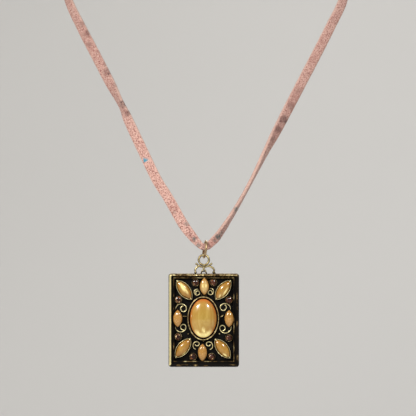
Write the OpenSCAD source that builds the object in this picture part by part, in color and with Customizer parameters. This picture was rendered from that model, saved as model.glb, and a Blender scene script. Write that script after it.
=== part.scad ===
// Pendant necklace: a rectangular cast pendant set with cabochons, hung by a
// jump ring from a flat suede lace that closes at the nape with a lobster clasp.
// Millimetres, +Z up. The pendant faces -Y. The origin is the middle of the
// neck opening; the lace turns at the bottom of its V below and in front of it.

/* [Lace] */
// Width of the flat lace
lace_width = 3.8; // [2.5:0.1:5]
// Thickness of the flat lace
lace_thick = 1.5; // [1:0.1:2]
// Width of the lace where the jump ring gathers it
gathered_width = 2.4; // [2:0.1:3]

/* [Rings] */
// Middle radius of the jump ring on the lace
jump_radius = 2.9; // [2.6:0.1:4]
// Wire radius of the jump ring
jump_wire = 0.44; // [0.3:0.02:0.6]
// Lean of the jump ring, its top towards +X, in degrees
jump_lean = 8; // [0:1:12]
// Turn of the jump ring about upright, its front towards +X, in degrees
jump_turn = 8; // [0:1:12]
// Middle radius of the cast eye
eye_radius = 1.85; // [1.5:0.05:2.5]
// Wire radius of the cast eye
eye_wire = 0.37; // [0.3:0.01:0.5]
// Middle radius of the two closing rings
closing_radius = 2.1; // [1.8:0.1:3]
// Wire radius of the two closing rings
closing_wire = 0.4; // [0.3:0.02:0.5]

/* [Frame] */
// Width of the frame
frame_width = 25.4; // [20:0.2:32]
// Height of the frame
frame_height = 33.6; // [28:0.2:42]
// Depth of the frame at its outer crest
frame_depth = 3; // [2:0.1:4]
// Width of the side borders
side_border = 2.1; // [1.5:0.1:3]
// Width of the top border
top_border = 1.7; // [1.5:0.1:3]
// Width of the bottom border
bottom_border = 2.2; // [1.5:0.1:3]
// Thickness of the back plate
plate_thick = 1; // [0.6:0.1:1.5]
// Height of the inner lip above the rear of the frame
lip_height = 2; // [1.4:0.1:2.6]

/* [Stones] */
// Width of the oval cabochon
oval_width = 9.6; // [8:0.1:12]
// Length of the oval cabochon
oval_length = 14; // [12:0.1:18]
// Length of a corner navette
corner_length = 8.2; // [7:0.1:10]
// Width of a corner navette
corner_width = 3.6; // [3:0.1:5]
// Angle of a corner navette from upright, in degrees
corner_angle = 38; // [20:1:50]
// Length of a small navette
small_length = 6.2; // [4:0.1:7]
// Width of a small navette
small_width = 3.3; // [2:0.1:4]
// Diameter of a round stone
round_size = 2.4; // [1.5:0.1:3]

/* [Settings] */
// Diameter of a round stone's cup
cup_size = 2.76; // [2:0.02:3.6]
// Wall of the corner bezels
corner_wall = 0.25; // [0.2:0.05:0.6]
// Wall of the oval bezel
oval_wall = 0.45; // [0.3:0.05:0.8]
// Gap between the oval cabochon and its bezel
oval_gap = 0.5; // [0.2:0.05:0.8]
// Gap across a corner bezel beside its stone
corner_gap = 0.3; // [0.2:0.05:0.6]
// Wire radius of the scrolls on the field
scroll_wire = 0.2; // [0.15:0.01:0.35]

/* [Clasp] */
// Outer radius of the clasp hook
hook_outer = 3.2; // [2.6:0.1:4]
// Inner radius of the clasp hook
hook_inner = 2; // [1.6:0.1:2.8]
// Thickness of the clasp body
clasp_thick = 2.4; // [2:0.1:3.2]
// Thickness of the clasp lever
lever_thick = 1; // [0.6:0.1:1.2]

/* [Hidden] */

// the bottom of the V, where the lace turns inside the jump ring
turn = [0, -50, -120];

// the lace: place from the turn, the way its wide face looks, and its width
// there; listed from the left cord end round the front to the right cord end
ROUTE = [
    [[-11.3, 88, 138], [0, 1, 0], 1],
    [[-18, 88, 138], [0, 1, 0], 1],
    [[-26, 87.6, 137.7], [-0.1, 1, 0], 1],
    [[-35.5, 85.5, 136], [-0.3, 1, 0], 1],
    [[-46, 79, 131], [-0.8, 0.9, 0], 1],
    [[-53, 69, 123.5], [-1, 0.2, 0], 1],
    [[-55, 58, 113.5], [-1, -0.2, 0], 1],
    [[-54, 49.5, 103.5], [-1, -0.4, 0], 1],
    [[-51.5, 42, 92.5], [-0.8, -0.7, 0], 1],
    [[-46.5, 36, 82], [-0.3, -1, -0.3], 1],
    [[-41, 30.5, 71.5], [0, -1, -0.3], 1],
    [[-35.5, 25, 61], [-0.2, -1, -0.3], 1],
    [[-31, 20.8, 52.5], [-0.8, -0.7, -0.6], 1],
    [[-28, 17.5, 46], [-0.3, -1, -0.3], 1],
    [[-23, 12.5, 35.5], [0, -1, -0.3], 1],
    [[-17.6, 7.8, 24.5], [0, -1, -0.3], 1],
    [[-13.2, 5, 17.5], [0, -1, -0.3], 1],
    [[-8, 2, 8.4], [0, -1, -0.2], 1],
    [[-4.6, 0.8, 3.8], [0, -1, 0], 0.7],
    [[-2.5, 0.3, 1.4], [0, -1, 0], 0.25],
    [[-1.2, 0.06, 0.25], [0, -1, 0], 0],
    [[0, 0, 0], [0, -1, 0], 0],
    [[1.2, 0.06, 0.28], [0, -1, 0], 0],
    [[2.5, 0.3, 1.55], [0, -1, 0], 0.25],
    [[5.2, 0.9, 4.6], [0.8, -0.6, -0.2], 0.6],
    [[10.2, 3.2, 12.2], [1, -0.25, -0.4], 1],
    [[16, 7, 22.4], [1, -0.1, -0.4], 1],
    [[22.3, 12.2, 34.8], [0.88, -0.5, -0.4], 1],
    [[26.4, 15.8, 42.5], [0.5, -0.9, -0.3], 1],
    [[33.3, 22.3, 55.7], [0.1, -1, -0.3], 1],
    [[42.2, 31, 72.6], [0, -1, -0.3], 1],
    [[47.2, 36.4, 82.4], [0.2, -1, -0.2], 1],
    [[52, 42, 92.5], [0.5, -0.9, 0], 1],
    [[54, 49.5, 103.5], [1, -0.4, 0], 1],
    [[55, 58, 113.5], [1, -0.2, 0], 1],
    [[53, 69, 123.5], [1, 0.2, 0], 1],
    [[46, 79, 131], [0.8, 0.9, 0], 1],
    [[35.5, 85.5, 136], [0.3, 1, 0], 1],
    [[26, 87.6, 137.7], [0.1, 1, 0], 1],
    [[18, 88, 138], [0, 1, 0], 1],
    [[11.3, 88, 138], [0, 1, 0], 1],
];
steps = 2;

// the closure at the nape, measured from its own middle
nape = turn + [0, 88, 138];
crimp_near = 10.85;
crimp_far = 16.4;
tab_at = 9.35;
ring_at = 6.8;
tail_at = -4.25;
hook_at = 3.7;
tab_radius = 1.6;
tab_hole = 0.9;
tab_thick = 1;
pivot = [hook_at - 3, 1.3];
pivot_radius = 1.1;
slot_thick = 1.7;
rivet_radius = 0.4;

// the pendant hangs from the turn; its rear face is its local zero depth
jump_drop = 0.86;
eye_drop = 4.7;
eye_foot = 6.94;
frame_top = 9.6;
plumb = turn - [jump_radius * sin(jump_lean), 0, 0];
pendant_at = plumb + [0, frame_depth / 2, -frame_top - frame_height / 2];
opening_up = (bottom_border - top_border) / 2;
opening = [frame_width - 2 * side_border, frame_height - top_border - bottom_border];
corner_round = 1;
plate_slack = 0.02;

// places on the pendant's face, from the middle of the frame
oval_at = [-0.2, 0.7];
corner_at = [[-7.05, 10.9], [6.95, 10.9], [-7.5, -10], [6.75, -10.2]];
small_at = [[0.2, 12.2], [-0.5, -11.6], [-9.4, 0.65], [9.1, 0.6]];
round_at = [
    [-3, 13.55], [3.4, 13.58], [-3.85, -13.15], [2.8, -13.15],
    [-9.18, 7.45], [9.05, 7.3], [-9.18, -5.9], [9, -6.35],
];
bead_at = [[0, 8.85], [-0.75, 9], [0.75, 9], [-0.1, -7.5], [-5.6, -4.9], [5.6, -4.9]];
seat_top = lip_height + 0.1;
stone_floor = plate_thick + 0.5;

// ---- shared shapes ----

function unit(v) = v / norm(v);
function blend(a, b, c, d, t) =
    0.5 * (2 * b + (c - a) * t + (2 * a - 5 * b + 4 * c - d) * t * t
        + (3 * b - 3 * c + d - a) * t * t * t);
function at(list, i) = list[max(0, min(len(list) - 1, i))];
function smooth(list, n) = [
    for (i = [0:len(list) - 2]) for (k = [0:n - 1])
        blend(at(list, i - 1), list[i], list[i + 1], at(list, i + 2), k / n),
    list[len(list) - 1]
];
function way(path, i) = unit(at(path, i + 1) - at(path, i - 1));

// a closed skin through equal rings of points
module skin(rings) {
    n = len(rings[0]);
    last = (len(rings) - 1) * n;
    polyhedron(
        points = [for (ring = rings) for (p = ring) p],
        faces = [
            [for (k = [n - 1:-1:0]) k],
            for (i = [0:len(rings) - 2]) for (k = [0:n - 1])
                let (a = i * n + k, b = i * n + (k + 1) % n)
                each [[a, b, b + n], [a, b + n, a + n]],
            [for (k = [0:n - 1]) last + k]
        ]
    );
}

// a round wire along points on the field, at one height
module wire(path, radius, height) {
    skin([
        for (i = [0:len(path) - 1])
            let (t = way(path, i), s = [t[1], -t[0]])
            [for (k = [0:7]) let (a = 45 * k)
                [path[i][0] + radius * cos(a) * s[0],
                    path[i][1] + radius * cos(a) * s[1],
                    height + radius * sin(a)]]
    ]);
}

function arc(centre, radius, from, to, n) = [
    for (k = [0:n]) let (a = from + (to - from) * k / n)
        centre + radius * [cos(a), sin(a)]
];

module torus(major, minor) {
    rotate_extrude($fn = 48) translate([major, 0]) circle(minor, $fn = 20);
}

module oval(width, length, height) {
    linear_extrude(height) scale([width / 2, length / 2]) circle(1, $fn = 64);
}

// outline where two equal circles cross
module navette(width, length) {
    radius = (width * width + length * length) / (4 * width);
    intersection() {
        translate([radius - width / 2, 0]) circle(radius, $fn = 96);
        translate([width / 2 - radius, 0]) circle(radius, $fn = 96);
    }
}

// the domed stone of that outline, its flat base at zero
module navette_stone(width, length) {
    sunk = 0.3;
    radius = (width * width + length * length) / (4 * width);
    intersection() {
        translate([0, 0, -sunk]) rotate([90, 0, 0]) rotate_extrude($fn = 96) intersection() {
            translate([width / 2 - radius, 0]) circle(radius, $fn = 96);
            translate([0, -length]) square([width, 2 * length]);
        }
        translate([-width, -length, 0]) cube([2 * width, 2 * length, width]);
    }
}

// puts flat work, drawn in X and Y with its depth in Z, on the hanging pendant
module on_pendant() {
    translate(pendant_at) rotate([90, 0, 0]) children();
}

// from flat work to one corner
module at_corner(side, level) {
    translate(corner_at[(side + 1) / 2 + (1 - level)]) rotate(-side * level * corner_angle) children();
}

// ---- lace and its closure ----

module neck_cord() color("sienna") {
    places = smooth([for (r = ROUTE) r[0]], steps);
    faces = smooth([for (r = ROUTE) r[1]], steps);
    spread = smooth([for (r = ROUTE) r[2]], steps);
    skin([
        for (i = [0:len(places) - 1])
            let (
                t = way(places, i),
                out = unit(faces[i] - (faces[i] * t) * t),
                across = cross(t, out),
                s = max(0, min(1, spread[i])),
                w = (gathered_width + (lace_width - gathered_width) * s) / 2,
                h = lace_thick / 2,
                c = 0.25
            )
            [for (q = [[w, h - c], [w - c, h], [c - w, h], [-w, h - c],
                    [-w, c - h], [c - w, -h], [w - c, -h], [w, c - h]])
                turn + places[i] + q[0] * across + q[1] * out]
    ]);
}

// folded end clamped over the lace, with a holed tab towards the middle
module cord_end() {
    slack = 0.06;
    outer = [crimp_far - crimp_near, lace_thick + 1, lace_width + 0.8];
    difference() {
        union() {
            translate([crimp_near, -outer[1] / 2, -outer[2] / 2]) cube(outer);
            translate([tab_at, tab_thick / 2, 0]) rotate([90, 0, 0])
                cylinder(tab_thick, r = tab_radius, $fn = 40);
            translate([tab_at, -tab_thick / 2, -0.8]) cube([crimp_near - tab_at + 0.5, tab_thick, 1.6]);
        }
        translate([crimp_near + 0.4, -lace_thick / 2 - slack, -lace_width / 2 - slack])
            cube([outer[0], lace_thick + 2 * slack, lace_width + 2 * slack]);
        translate([tab_at, tab_thick, 0]) rotate([90, 0, 0])
            cylinder(2 * tab_thick, r = tab_hole, $fn = 32);
    }
}

module cord_end_left() color("darkgoldenrod") translate(nape) rotate([0, 0, 180]) cord_end();
module cord_end_right() color("darkgoldenrod") translate(nape) cord_end();

module closing_ring_left() color("goldenrod")
    translate(nape - [ring_at, 0, 0]) torus(closing_radius, closing_wire);
module closing_ring_right() color("goldenrod")
    translate(nape + [ring_at, 0, 0]) torus(closing_radius, closing_wire);

// flat work of the clasp, drawn in X and Z and thickened along Y about the middle
module clasp_plate(thick) {
    translate(nape + [0, thick / 2, 0]) rotate([90, 0, 0]) linear_extrude(thick) children();
}

// wedge of the plane from one angle to another about the hook's middle
module wedge(from, to) {
    reach = 2 * hook_outer;
    translate([hook_at, 0])
        polygon([[0, 0], for (k = [0:4]) let (a = from + (to - from) * k / 4) reach * [cos(a), sin(a)]]);
}

// the gate: the lever's free end turns inside this reach from the rivet
gate_from = 40;
gate_to = 150;
gate_reach = 4;

module gate(slack) {
    intersection() {
        wedge(gate_from, gate_to);
        translate(pivot) circle(gate_reach + slack, $fn = 64);
    }
}

module clasp_body() color("darkgoldenrod") difference() {
    union() {
        clasp_plate(clasp_thick) difference() {
            union() {
                translate([hook_at, 0]) circle(hook_outer, $fn = 64);
                translate([hook_at - 4.1, 0]) circle(2.3, $fn = 48);
            }
            translate([hook_at, 0]) circle(hook_inner, $fn = 48);
            gate(0.08);
        }
        clasp_plate(1.2) difference() {
            union() {
                translate([tail_at, 0]) circle(tab_radius, $fn = 40);
                translate([tail_at + 1, -0.9]) square([1.6, 1.8]);
            }
            translate([hook_at, 0]) circle(hook_inner + 0.2, $fn = 48);
        }
    }
    clasp_plate(slot_thick) {
        translate(pivot) circle(pivot_radius + 0.15, $fn = 40);
        wedge(gate_to - 2, gate_to + 22);
    }
    clasp_plate(2 * clasp_thick) translate([tail_at, 0]) circle(tab_hole, $fn = 32);
    clasp_plate(2 * clasp_thick) translate(pivot) circle(rivet_radius + 0.02, $fn = 24);
}

module clasp_lever() color("goldenrod") clasp_plate(lever_thick) difference() {
    union() {
        intersection() {
            difference() {
                translate([hook_at, 0]) circle(hook_outer - 0.1, $fn = 64);
                translate([hook_at, 0]) circle(hook_inner + 0.1, $fn = 48);
            }
            translate(pivot) circle(gate_reach, $fn = 64);
            wedge(gate_from, gate_to + 8);
        }
        translate(pivot) circle(pivot_radius, $fn = 40);
        translate([hook_at - 1.9, 3]) circle(0.7, $fn = 24);
    }
    translate(pivot) circle(rivet_radius + 0.03, $fn = 24);
}

module clasp_rivet() color("darkgoldenrod") {
    clasp_plate(clasp_thick + 0.4) translate(pivot) circle(rivet_radius, $fn = 24);
    for (side = [0, 1])
        translate([0, side ? clasp_thick / 2 + 0.2 : -clasp_thick / 2 - 0.2, 0])
            clasp_plate(0.4) translate(pivot) circle(0.7, $fn = 24);
}

// one turn of spring round the rivet, beside the lever
module clasp_spring() color("silver")
    translate(nape + [pivot[0], lever_thick / 2 + 0.17, pivot[1]]) rotate([90, 0, 0])
        torus(0.72, 0.14);

// ---- rings between lace and pendant ----

module pendant_jump_ring() color("goldenrod")
    translate(turn - [0, 0, jump_drop]) rotate([0, jump_lean, jump_turn]) rotate([0, 90, 0])
        torus(jump_radius, jump_wire);

module bail_eye() color("goldenrod") {
    translate(plumb - [0, 0, eye_drop]) rotate([90, 0, 0]) torus(eye_radius, eye_wire);
    translate(plumb - [0, 0, eye_foot]) cylinder(0.5, r = 0.4, $fn = 24);
}

// ---- pendant ----

// crown between the eye and the frame, drawn from the middle of the frame's top
module crown_scrolls() color("goldenrod") on_pendant() {
    mid = frame_depth / 2;
    smile = [[0, 2.37], [0.8, 2.45], [1.6, 2.78], [2.2, 3.1], [2.65, 3.45]];
    shoulder = [[1.25, 2.6], [1.8, 2.6], [2.4, 2.4], [2.9, 2], [3.25, 1.45], [3.32, 0.9], [3.2, 0.4]];
    leaf = [[0.12, 1.85], [0.35, 1.3], [0.75, 0.6], [0.85, -0.3]];
    difference() {
        translate([0, frame_height / 2]) {
            wire([for (i = [4:-1:1]) [-smile[i][0], smile[i][1]], each smile], 0.27, mid);
            for (side = [-1, 1]) {
                reach = side < 0 ? -0.94 : 1.12;
                wire([for (p = shoulder) [reach * p[0], p[1]]], 0.26, mid);
                wire([for (p = leaf) [side * p[0], p[1]]], 0.2, mid);
                translate([side * 2.7, 3.5, mid]) sphere(0.4, $fn = 12);
                translate([reach * 3.18, 0.45, mid]) sphere(0.5, $fn = 12);
            }
            translate([0, 1.9, mid]) sphere(0.35, $fn = 12);
            translate([0, 0.75, mid]) sphere(0.3, $fn = 12);
        }
        translate([-6, frame_height / 2 - 2, -1]) cube([12, 2, frame_depth + 2]);
    }
}

// cross-section of the border: share of its width from the outside, and height
border_outline = [
    [0, 0.25], [0.1, 0], [1, 0], [1, lip_height], [0.84, lip_height + 0.08], [0.76, lip_height - 0.2],
    [0.68, lip_height - 0.22], [0.59, lip_height - 0.1], [0.54, lip_height + 0.1], [0.48, frame_depth - 0.25],
    [0.44, frame_depth], [0.36, frame_depth - 0.03], [0.22, frame_depth - 0.2], [0.09, frame_depth - 0.5],
    [0.02, frame_depth - 0.8], [0, frame_depth - 1.1],
];

// one side of the frame with mitred ends; the border runs along Y on the +X side
module border_bar(reach, opening_low, opening_high, low, high, width) {
    intersection() {
        translate([0, high]) rotate([90, 0, 0]) linear_extrude(high - low)
            polygon([for (p = border_outline) [reach - p[0] * width, p[1]]]);
        linear_extrude(frame_depth + 1)
            polygon([[reach, low], [reach, high], [reach - width, opening_high], [reach - width, opening_low]]);
    }
}

module frame_moulding() color("goldenrod") on_pendant() {
    w = frame_width / 2;
    h = frame_height / 2;
    intersection() {
        union() {
            border_bar(w, bottom_border - h, h - top_border, -h, h, side_border);
            rotate(180) border_bar(w, top_border - h, h - bottom_border, -h, h, side_border);
            rotate(90) border_bar(h, side_border - w, w - side_border, -w, w, top_border);
            rotate(-90) border_bar(h, side_border - w, w - side_border, -w, w, bottom_border);
        }
        linear_extrude(frame_depth + 1) union() {
            square([frame_width - 2 * corner_round, frame_height], center = true);
            square([frame_width, frame_height - 2 * corner_round], center = true);
            for (side = [-1, 1], level = [-1, 1])
                translate([side * (w - corner_round), level * (h - corner_round)])
                    circle(corner_round, $fn = 32);
        }
    }
}

module back_plate() color("dimgray") on_pendant()
    translate([plate_slack - opening[0] / 2, opening_up + plate_slack - opening[1] / 2, 0])
        cube([opening[0] - 2 * plate_slack, opening[1] - 2 * plate_slack, plate_thick]);

module oval_bezel() color("goldenrod") on_pendant() translate([oval_at[0], oval_at[1], plate_thick])
    difference() {
        oval(oval_width + 2 * (oval_gap + oval_wall), oval_length + 2 * (oval_gap + oval_wall) - 0.3, 1.6);
        translate([0, 0, 0.5]) oval(oval_width + 2 * oval_gap, oval_length + 2 * oval_gap - 0.3, 2);
    }

module oval_cabochon() color("orange") on_pendant() translate([oval_at[0], oval_at[1], stone_floor]) {
    oval(oval_width, oval_length, 0.6);
    translate([0, 0, 0.6]) intersection() {
        scale([oval_width / 2, oval_length / 2, 2.8]) sphere(1, $fn = 64);
        translate([-oval_width, -oval_length, 0]) cube([2 * oval_width, 2 * oval_length, 4]);
    }
}

module corner_bezel(side, level) color("goldenrod") on_pendant() at_corner(side, level)
    translate([0, 0, plate_thick]) difference() {
        linear_extrude(1.2)
            navette(corner_width + corner_gap + 2 * corner_wall, corner_length + 2 * (corner_gap + corner_wall));
        translate([0, 0, 0.5]) linear_extrude(2)
            navette(corner_width + corner_gap, corner_length + 2 * corner_gap);
    }

module corner_navette(side, level) color("orange") on_pendant() at_corner(side, level)
    translate([0, 0, stone_floor]) navette_stone(corner_width + 0.05, corner_length + 0.05);

module corner_bezel_top_left() corner_bezel(-1, 1);
module corner_bezel_top_right() corner_bezel(1, 1);
module corner_bezel_bottom_left() corner_bezel(-1, -1);
module corner_bezel_bottom_right() corner_bezel(1, -1);
module corner_navette_top_left() corner_navette(-1, 1);
module corner_navette_top_right() corner_navette(1, 1);
module corner_navette_bottom_left() corner_navette(-1, -1);
module corner_navette_bottom_right() corner_navette(1, -1);

module navette_seat(place) color("goldenrod") on_pendant() translate([place[0], place[1], plate_thick])
    linear_extrude(seat_top - plate_thick) navette(small_width - 1, small_length - 1.4);

module small_navette(place) color("sandybrown") on_pendant()
    translate([place[0], place[1], seat_top]) navette_stone(small_width + 0.06, small_length + 0.06);

module navette_seat_top() navette_seat(small_at[0]);
module navette_seat_bottom() navette_seat(small_at[1]);
module navette_seat_left() navette_seat(small_at[2]);
module navette_seat_right() navette_seat(small_at[3]);
module small_navette_top() small_navette(small_at[0]);
module small_navette_bottom() small_navette(small_at[1]);
module small_navette_left() small_navette(small_at[2]);
module small_navette_right() small_navette(small_at[3]);

module round_cups() color("goldenrod") on_pendant() for (place = round_at)
    translate([place[0], place[1], plate_thick]) difference() {
        cylinder(1, r = cup_size / 2, $fn = 32);
        translate([0, 0, 0.4]) cylinder(1, r = round_size / 2 + 0.02, $fn = 32);
    }

// eight-sided cut stones with a flat table
module round_stones() color("saddlebrown") on_pendant() for (place = round_at)
    translate([place[0], place[1], plate_thick + 0.4]) {
        cylinder(0.6, r = round_size / 2, $fn = 8);
        translate([0, 0, 0.6]) cylinder(0.5, r1 = round_size / 2, r2 = 0.6, $fn = 8);
    }

// an outer sweep from its tail that curls inwards into a loop; both touch at one angle
module scroll(centre, loop, sweep, touch, tail, curl) {
    pull = [cos(touch), sin(touch)];
    outer = arc(centre - (sweep - loop) * pull, sweep, tail, touch, 10);
    inner = arc(centre, loop, touch, curl, 14);
    wire(concat(outer, [for (i = [1:len(inner) - 1]) inner[i]]), scroll_wire, plate_thick + scroll_wire);
}

module field_scrolls() color("goldenrod") on_pendant() {
    scroll([-7.3, 4.1], 1.05, 1.95, 10, 180, -255);
    scroll([-7.4, -2.5], 1, 1.95, -12, -180, 265);
    scroll([-2.2, 9.8], 0.75, 1.1, -60, -290, 200);
    scroll([-2.4, -8.5], 0.75, 1.4, 80, 250, -150);
    mirror([1, 0, 0]) {
        scroll([-7, 4.6], 1.1, 1.95, 40, 180, -230);
        scroll([-6.7, -2.85], 1, 2.1, -17, -185, 250);
        scroll([-2.3, 9.95], 0.75, 1.15, -75, -280, 190);
        scroll([-1.65, -8.55], 0.75, 1.45, 80, 250, -150);
    }
}

module spacer_beads() color("goldenrod") on_pendant() {
    translate([-7.45, 1.2, plate_thick]) cube([1.3, 0.4, 0.6]);
    translate([5.95, 1, plate_thick]) rotate(28) cube([1.3, 0.4, 0.6]);
    for (place = bead_at) translate([place[0], place[1], plate_thick]) cylinder(0.5, r = 0.3, $fn = 16);
}

neck_cord();
cord_end_left();
cord_end_right();
closing_ring_left();
closing_ring_right();
clasp_body();
clasp_lever();
clasp_rivet();
clasp_spring();
pendant_jump_ring();
bail_eye();
crown_scrolls();
frame_moulding();
back_plate();
oval_bezel();
oval_cabochon();
corner_bezel_top_left();
corner_bezel_top_right();
corner_bezel_bottom_left();
corner_bezel_bottom_right();
corner_navette_top_left();
corner_navette_top_right();
corner_navette_bottom_left();
corner_navette_bottom_right();
navette_seat_top();
navette_seat_bottom();
navette_seat_left();
navette_seat_right();
small_navette_top();
small_navette_bottom();
small_navette_left();
small_navette_right();
round_cups();
round_stones();
field_scrolls();
spacer_beads();
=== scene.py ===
"""Pendant necklace: the looks of each piece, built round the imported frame.

Small pieces are drawn in millimetres as flat work: X across the pendant, Y up it and Z out of its face.
onto_pendant() turns flat work into the row frame, in metres.
"""
import math
import random

import bmesh
import bpy
from mathutils import Matrix, Vector, noise
from mathutils.bvhtree import BVHTree


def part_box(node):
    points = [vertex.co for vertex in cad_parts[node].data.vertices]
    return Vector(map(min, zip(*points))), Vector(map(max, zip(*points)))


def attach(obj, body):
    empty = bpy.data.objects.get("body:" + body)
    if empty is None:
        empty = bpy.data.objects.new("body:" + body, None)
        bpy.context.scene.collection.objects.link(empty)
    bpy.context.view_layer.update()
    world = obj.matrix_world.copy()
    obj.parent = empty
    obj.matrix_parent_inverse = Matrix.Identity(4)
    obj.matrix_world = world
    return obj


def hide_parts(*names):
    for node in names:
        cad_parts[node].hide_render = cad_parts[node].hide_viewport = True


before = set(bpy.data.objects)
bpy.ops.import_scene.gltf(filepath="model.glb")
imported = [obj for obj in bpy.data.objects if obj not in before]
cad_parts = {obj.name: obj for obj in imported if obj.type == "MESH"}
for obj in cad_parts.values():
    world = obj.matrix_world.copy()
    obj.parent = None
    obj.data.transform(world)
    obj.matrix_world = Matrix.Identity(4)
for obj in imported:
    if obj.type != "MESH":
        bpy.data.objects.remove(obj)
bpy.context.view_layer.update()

MM = 0.001
TURN = Vector((0.0, -0.05, -0.12))


def box_mm(node):
    low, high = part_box(node)
    return Vector(low) / MM, Vector(high) / MM


frame_low, frame_high = box_mm("frame_moulding")
plate_low, plate_high = box_mm("back_plate")
oval_low, oval_high = box_mm("oval_cabochon")
FRAME_W = frame_high.x - frame_low.x
FRAME_H = frame_high.z - frame_low.z
FRAME_D = frame_high.y - frame_low.y
PENDANT_AT = Vector(((frame_low.x + frame_high.x) / 2, frame_high.y, (frame_low.z + frame_high.z) / 2))
PLATE = plate_high.y - plate_low.y
SIDE_BORDER = plate_low.x - frame_low.x
BOTTOM_BORDER = plate_low.z - frame_low.z
TOP_BORDER = frame_high.z - plate_high.z
LIP = 2.0

random.seed(7)


# ---- shapes


def clamp(v, low=0.0, high=1.0):
    return max(low, min(high, v))


def smoothstep(a, b, v):
    t = clamp((v - a) / (b - a))
    return t * t * (3 - 2 * t)


def lumpy(x, y, z):
    """Smooth noise, about -1 to 1."""
    return noise.noise(Vector((x, y, z)))


def turned(turn, radius=1.0):
    """Across and up at a share of a whole turn."""
    return radius * math.cos(math.tau * turn), radius * math.sin(math.tau * turn)


def mesh_object(name, verts, faces, smooth=True):
    mesh = bpy.data.meshes.new(name)
    mesh.from_pydata([tuple(v) for v in verts], [], faces)
    mesh.validate()
    made = bpy.data.objects.new(name, mesh)
    bpy.context.scene.collection.objects.link(made)
    tidy = bmesh.new()
    tidy.from_mesh(mesh)
    bmesh.ops.recalc_face_normals(tidy, faces=tidy.faces)
    tidy.to_mesh(mesh)
    tidy.free()
    for face in mesh.polygons:
        face.use_smooth = smooth
    return made


def loft(rings, closed_path=False, closed_ring=True, caps=True):
    """Vertices and faces through equal rings of points."""
    n = len(rings[0])
    verts = [p for ring in rings for p in ring]
    faces = []
    count = len(rings)
    for i in range(count if closed_path else count - 1):
        a = i * n
        b = ((i + 1) % count) * n
        for k in range(n if closed_ring else n - 1):
            j = (k + 1) % n
            faces.append((a + k, a + j, b + j, b + k))
    if caps and not closed_path and closed_ring:
        faces.append(tuple(range(n - 1, -1, -1)))
        faces.append(tuple(range((count - 1) * n, count * n)))
    return verts, faces


def join_parts(parts):
    """One list of vertices and one of faces from several (vertices, faces) pairs."""
    verts = []
    faces = []
    for v, f in parts:
        base = len(verts)
        verts.extend(v)
        faces.extend(tuple(i + base for i in face) for face in f)
    return verts, faces


def arc(centre, radius, start, end, count):
    """Points on a circle from one angle to another, in degrees."""
    spots = [turned((start + (end - start) * k / count) / 360, radius) for k in range(count + 1)]
    return [(centre[0] + x, centre[1] + y) for x, y in spots]


def tube(path, radii, sides):
    """A round wire along points, its ends closed with round caps."""
    path = [Vector(p) for p in path]
    rings = []
    across = None
    for i, p in enumerate(path):
        way = (path[min(i + 1, len(path) - 1)] - path[max(i - 1, 0)]).normalized()
        if across is None:
            across = way.orthogonal().normalized()
        across = (across - way * across.dot(way)).normalized()
        up = way.cross(across)
        r = radii[i] if hasattr(radii, "__len__") else radii
        steps = [(0.0, 1.0)]
        if i == 0:
            steps = [(-math.cos(t), math.sin(t)) for t in (0.25, 0.7, 1.15)] + steps
        if i == len(path) - 1:
            steps = steps + [(math.cos(t), math.sin(t)) for t in (1.15, 0.7, 0.25)]
        for along, wide in steps:
            circle = [turned(k / sides, r * wide) for k in range(sides)]
            rings.append([p + way * along * r + across * c + up * s for c, s in circle])
    return loft(rings)


def torus(centre, major, minor, axis, sides=16, steps=64, gap=0.0, wobble=0.0):
    """A ring of wire about an axis; gap, in degrees, leaves it cut open."""
    axis = Vector(axis).normalized()
    a = axis.orthogonal().normalized()
    b = axis.cross(a)
    if gap:
        turns = [math.radians(gap / 2 + (360 - gap) * k / steps) for k in range(steps + 1)]
        path = [Vector(centre) + (a * math.cos(t) + b * math.sin(t)) * major for t in turns]
        return tube(path, minor, sides)
    rings = []
    for k in range(steps):
        t = math.tau * k / steps
        out = a * math.cos(t) + b * math.sin(t)
        r = minor * (1 + wobble * math.sin(3 * t + 1) + wobble * math.sin(7 * t))
        circle = [turned(s / sides, r) for s in range(sides)]
        rings.append([Vector(centre) + out * (major + c) + axis * s for c, s in circle])
    return loft(rings, closed_path=True)


def ball(centre, radius, squash=1.0, steps=10, sides=16):
    centre = Vector(centre)
    rings = []
    for i in range(1, steps):
        up, out = turned(i / steps / 2, radius)
        rings.append([centre + Vector((*turned(k / sides, out), squash * up)) for k in range(sides)])
    return loft(rings)


def set_layer(made, name, values, domain="POINT"):
    """An attribute of one number for each vertex, or for each face."""
    layer = made.data.attributes.new(name, "FLOAT", domain)
    layer.data.foreach_set("value", values)


def onto_pendant(made):
    """Flat work in millimetres to its place in the row frame, in metres."""
    turn = Matrix(((1, 0, 0, 0), (0, 0, -1, 0), (0, 1, 0, 0), (0, 0, 0, 1)))
    made.data.transform(Matrix.Scale(MM, 4) @ Matrix.Translation(PENDANT_AT) @ turn)
    made.data.update()
    return made


def shrink(made):
    """A piece drawn in millimetres of the row frame, to metres."""
    made.data.transform(Matrix.Scale(MM, 4))
    made.data.update()
    return made


def applied(made):
    """The object with its modifiers made part of its mesh."""
    seen = made.evaluated_get(bpy.context.evaluated_depsgraph_get())
    mesh = bpy.data.meshes.new_from_object(seen)
    made.modifiers.clear()
    old = made.data
    made.data = mesh
    bpy.data.meshes.remove(old)
    mesh.name = made.name
    return made


def melted(made, voxel, soften):
    """Overlapping solids fused into one cast skin; drawn in millimetres."""
    remesh = made.modifiers.new("fuse", "REMESH")
    remesh.mode = "VOXEL"
    remesh.voxel_size = voxel
    remesh.use_smooth_shade = True
    smooth = made.modifiers.new("soften", "SMOOTH")
    smooth.factor = 0.5
    smooth.iterations = soften
    return applied(made)


def roughened(made, amount, size, seed=0.0):
    """A little uneven casting: vertices move along their normals, in the mesh's own units."""
    shift = Vector((seed, seed * 1.7, seed * 0.3))
    for v in made.data.vertices:
        v.co += v.normal * amount * noise.noise(v.co / size + shift)
    made.data.update()
    return made


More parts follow.
